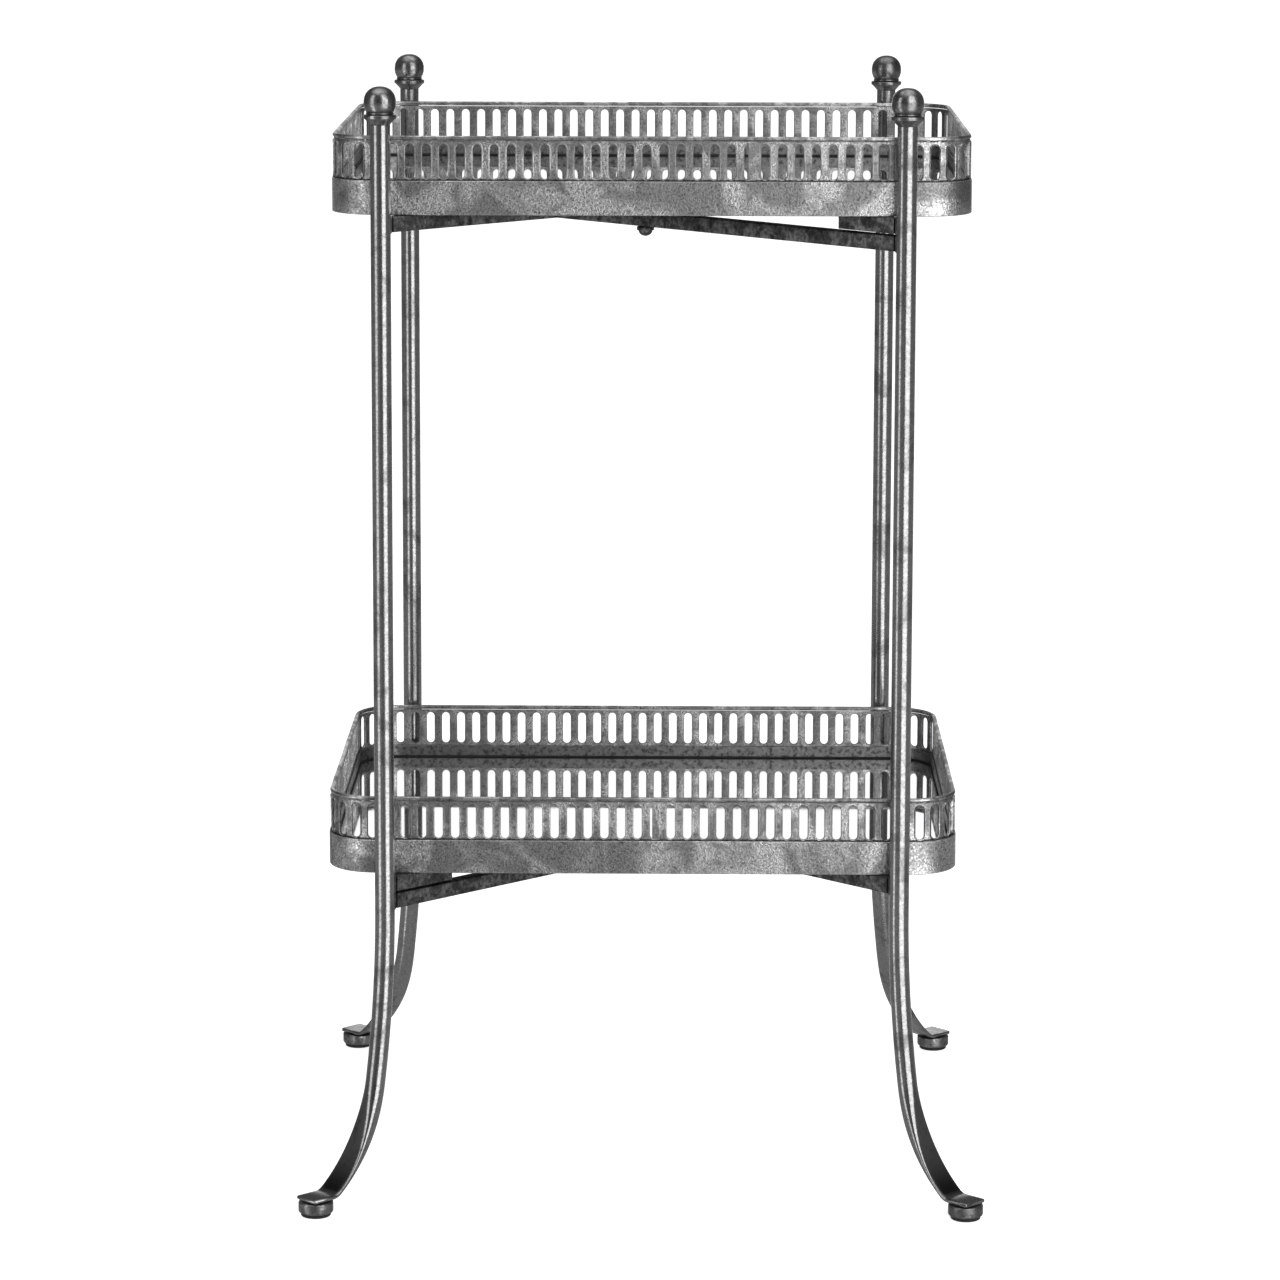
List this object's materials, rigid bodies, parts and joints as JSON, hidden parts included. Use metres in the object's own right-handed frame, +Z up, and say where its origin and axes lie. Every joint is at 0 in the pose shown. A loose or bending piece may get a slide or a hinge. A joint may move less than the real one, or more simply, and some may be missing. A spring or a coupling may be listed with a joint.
{
  "type": "folding tray table",
  "caption": "Folding X-frame side table carrying two removable trays with pierced metal galleries and mirror floors.",
  "frame": {"origin": "on the floor, on the pivot axis in the middle of the table", "axes": "+X to the right along the trays' length, -Y towards the front, +Z up along the pivot axis"},
  "size_m": [0.55, 0.5424, 0.897],
  "materials": {
    "leg": "antique silver, polished tube with dark patina",
    "finial": "antique silver, turned and polished",
    "insert": "plain steel",
    "brace": "dark mottled bar",
    "pivot": "dark fixings",
    "glide": "dark nickel",
    "pad": "matt black",
    "band": "antique silver leaf, satin with patina",
    "gallery": "antique silver leaf, pierced",
    "rim": "antique silver leaf, rolled",
    "board": "black painted board",
    "mirror": "clear mirror glass"
  },
  "bodies": {
    "frame_a": {"leg_front_left": "leg", "finial_front_left": "finial", "finial_collar_front_left": "finial", "leg_insert_front_left": "insert", "leg_back_right": "leg", "finial_back_right": "finial", "finial_collar_back_right": "finial", "leg_insert_back_right": "insert", "upper_brace_a": "brace", "lower_brace_a": "brace", "lower_tray_rest_front_left": "brace", "lower_tray_rest_back_right": "brace", "pivot_bolt_upper": "pivot", "pivot_washer_upper": "pivot", "pivot_nut_upper": "pivot"},
    "frame_b": {"leg_front_right": "leg", "finial_front_right": "finial", "finial_collar_front_right": "finial", "leg_insert_front_right": "insert", "leg_back_left": "leg", "finial_back_left": "finial", "finial_collar_back_left": "finial", "leg_insert_back_left": "insert", "upper_brace_b": "brace", "lower_brace_b": "brace", "upper_tray_rest_front_right": "brace", "upper_tray_rest_back_left": "brace", "pivot_bolt_lower": "pivot", "pivot_washer_lower": "pivot", "pivot_nut_lower": "pivot"},
    "upper_tray": {"upper_tray_band": "band", "upper_tray_gallery": "gallery", "upper_tray_rim": "rim", "upper_tray_board": "board", "upper_tray_mirror": "mirror"},
    "lower_tray": {"lower_tray_band": "band", "lower_tray_gallery": "gallery", "lower_tray_rim": "rim", "lower_tray_board": "board", "lower_tray_mirror": "mirror"},
    "glide_front_left": {"glide_disc_front_left": "glide", "glide_pad_front_left": "pad", "glide_stud_front_left": "insert"},
    "glide_front_right": {"glide_disc_front_right": "glide", "glide_pad_front_right": "pad", "glide_stud_front_right": "insert"},
    "glide_back_left": {"glide_disc_back_left": "glide", "glide_pad_back_left": "pad", "glide_stud_back_left": "insert"},
    "glide_back_right": {"glide_disc_back_right": "glide", "glide_pad_back_right": "pad", "glide_stud_back_right": "insert"}
  },
  "joints": [
    {"name": "fold", "type": "hinge", "parent": "frame_a", "child": "frame_b", "pos_m": [0, 0, 0.53], "axis": [0, 0, -1], "range_deg": [0, 85]},
    {"name": "upper_tray_lift", "type": "slide", "parent": "frame_a", "child": "upper_tray", "axis": [0, 0, 1], "range_m": [0, 0.15]},
    {"name": "lower_tray_slide", "type": "slide", "parent": "frame_a", "child": "lower_tray", "axis": [1, 0, 0], "range_m": [-0.56, 0.56]},
    {"name": "glide_turn_front_left", "type": "hinge", "parent": "frame_a", "child": "glide_front_left", "pos_m": [-0.25941, -0.25563, 0], "axis": [0, 0, 1], "continuous": true},
    {"name": "glide_turn_front_right", "type": "hinge", "parent": "frame_b", "child": "glide_front_right", "pos_m": [0.25941, -0.25563, 0], "axis": [0, 0, 1], "continuous": true},
    {"name": "glide_turn_back_left", "type": "hinge", "parent": "frame_b", "child": "glide_back_left", "pos_m": [-0.25941, 0.25563, 0], "axis": [0, 0, 1], "continuous": true},
    {"name": "glide_turn_back_right", "type": "hinge", "parent": "frame_a", "child": "glide_back_right", "pos_m": [0.25941, 0.25563, 0], "axis": [0, 0, 1], "continuous": true}
  ]
}
